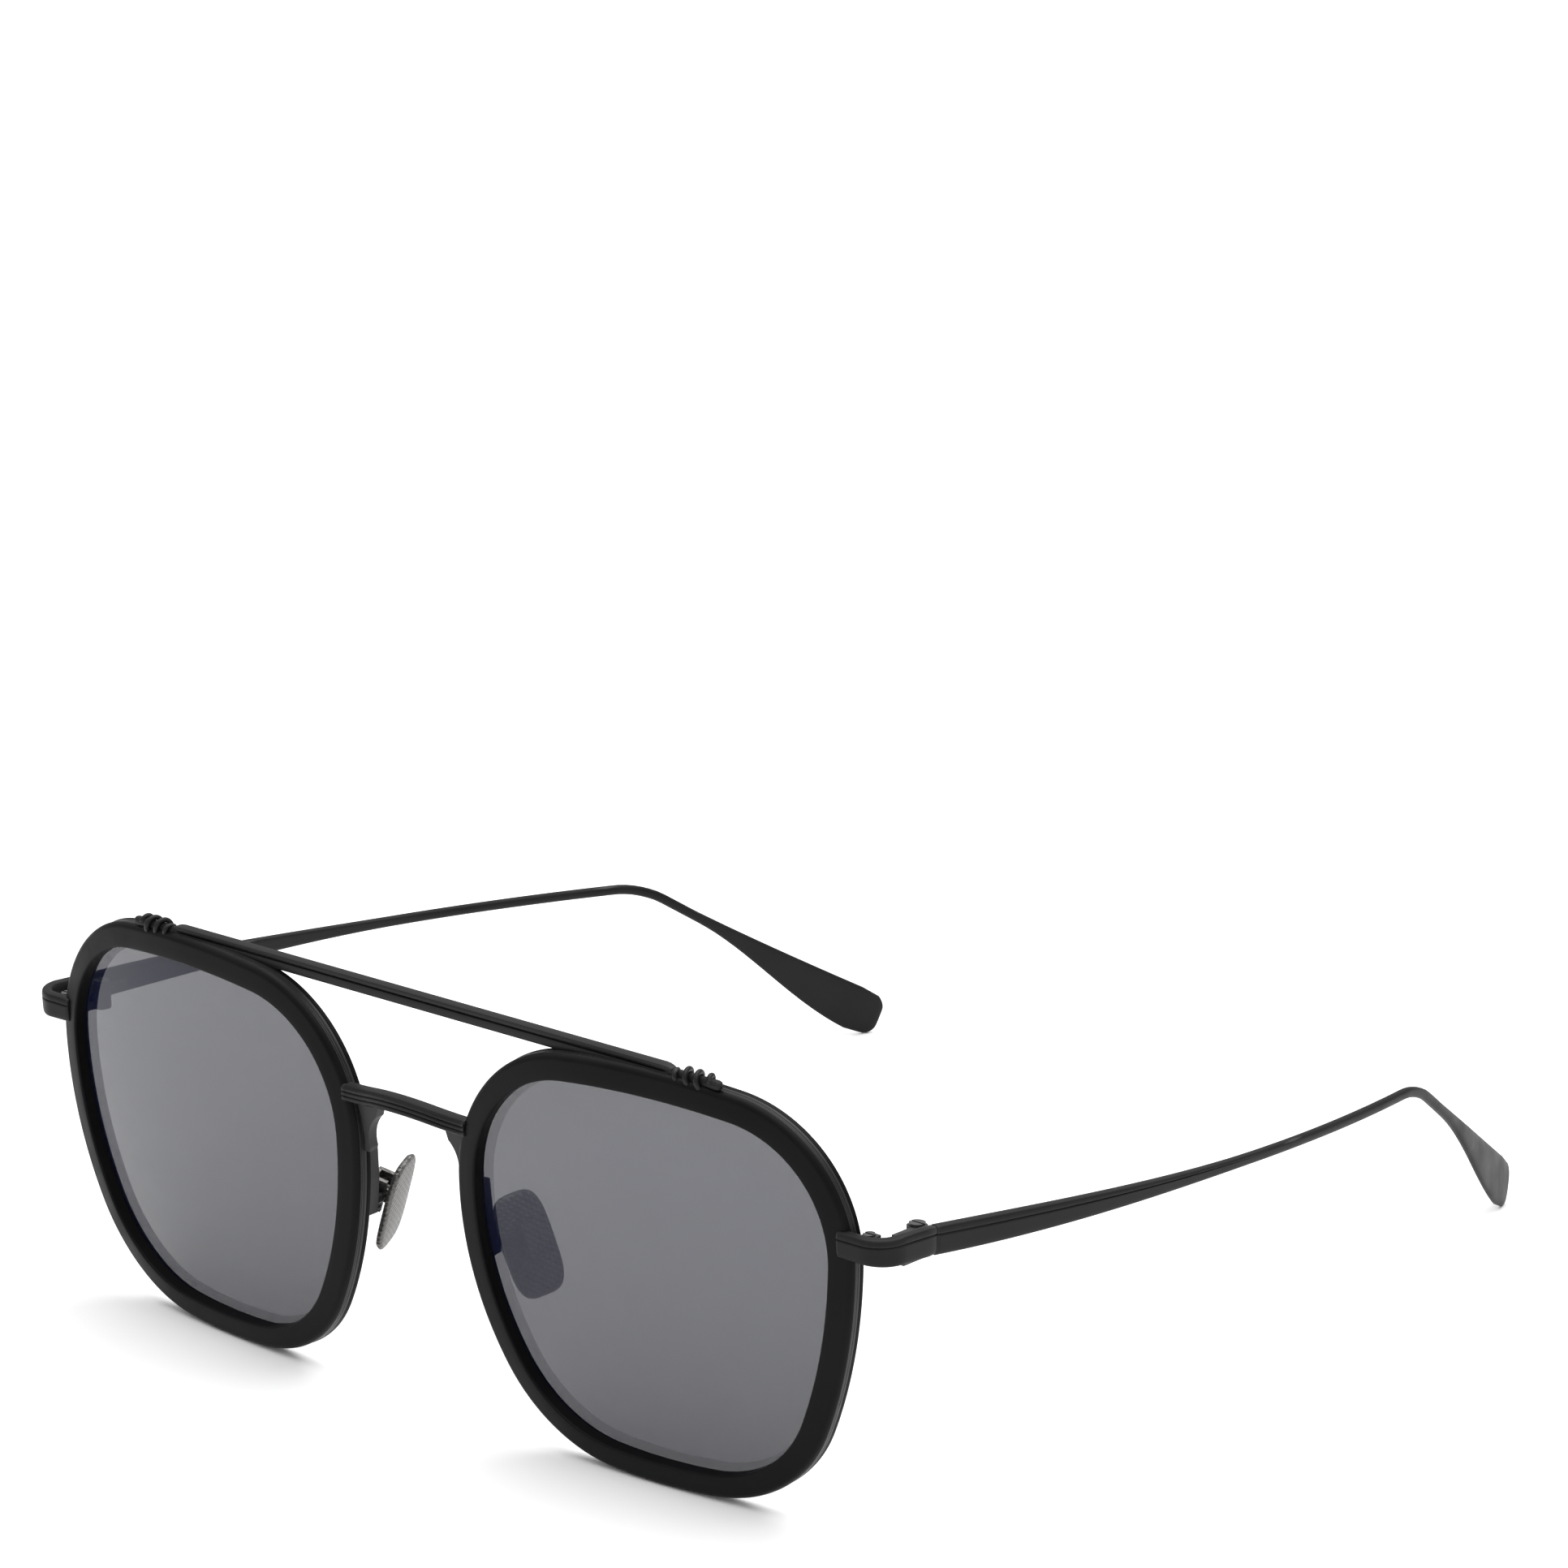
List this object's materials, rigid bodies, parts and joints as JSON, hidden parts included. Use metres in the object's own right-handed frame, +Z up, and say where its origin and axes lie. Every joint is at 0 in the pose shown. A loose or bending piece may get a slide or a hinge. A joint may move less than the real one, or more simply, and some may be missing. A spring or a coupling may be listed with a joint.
{
  "type": "sunglasses",
  "caption": "Aviator sunglasses with thick black ringed rims, a straight brow bar with wire lashings, grey lenses, hinged slim metal temples and rocking nose pads.",
  "frame": {"origin": "on the table plane, below the middle of the sunglasses' bounding box, with the rims and temple tips standing on the plane", "axes": "+X across, towards the wearer's left ear; +Y from the front towards the temple tips; +Z up"},
  "size_m": [0.1442, 0.1496, 0.0521],
  "materials": {
    "acetate": "polished black cellulose acetate",
    "band_metal": "dark brushed titanium band",
    "black_metal": "black plated titanium, satin",
    "wire": "dark wound wire",
    "screw_metal": "dark screw heads",
    "lens_tint": "grey tinted sun lens",
    "pad_metal": "bead blasted titanium pad"
  },
  "bodies": {
    "front": {"rim_left": "acetate", "eyewire_left": "band_metal", "lens_left": "lens_tint", "brow_coil_left": "wire", "bridge_foot_left": "black_metal", "end_piece_left": "black_metal", "rim_lock_left": "black_metal", "rim_lock_screw_left": "screw_metal", "hinge_front_left": "black_metal", "hinge_screw_left": "screw_metal", "pad_arm_left": "black_metal", "pad_box_left": "pad_metal", "pad_screw_left": "screw_metal", "rim_right": "acetate", "eyewire_right": "band_metal", "lens_right": "lens_tint", "brow_coil_right": "wire", "bridge_foot_right": "black_metal", "end_piece_right": "black_metal", "rim_lock_right": "black_metal", "rim_lock_screw_right": "screw_metal", "hinge_front_right": "black_metal", "hinge_screw_right": "screw_metal", "pad_arm_right": "black_metal", "pad_box_right": "pad_metal", "pad_screw_right": "screw_metal", "brow_bar": "black_metal", "bridge": "black_metal"},
    "left_temple": {"temple_left": "black_metal", "hinge_rear_left": "black_metal"},
    "right_temple": {"temple_right": "black_metal", "hinge_rear_right": "black_metal"},
    "left_pad": {"nose_pad_left": "pad_metal"},
    "right_pad": {"nose_pad_right": "pad_metal"}
  },
  "joints": [
    {"name": "left_temple_fold", "type": "hinge", "parent": "front", "child": "left_temple", "pos_m": [0.06635, -0.06013, 0.03477], "axis": [0, 0, 1], "range_deg": [0, 86.5]},
    {"name": "right_temple_fold", "type": "hinge", "parent": "front", "child": "right_temple", "pos_m": [-0.06635, -0.06013, 0.03477], "axis": [0, 0, -1], "range_deg": [0, 83.5]},
    {"name": "left_pad_rock", "type": "hinge", "parent": "front", "child": "left_pad", "pos_m": [0.0121, -0.06476, 0.02309], "axis": [0.3485, 0.9142, 0.2067], "range_deg": [-6, 6]},
    {"name": "right_pad_rock", "type": "hinge", "parent": "front", "child": "right_pad", "pos_m": [-0.0121, -0.06476, 0.02309], "axis": [0.3485, -0.9142, -0.2067], "range_deg": [-6, 6]}
  ]
}
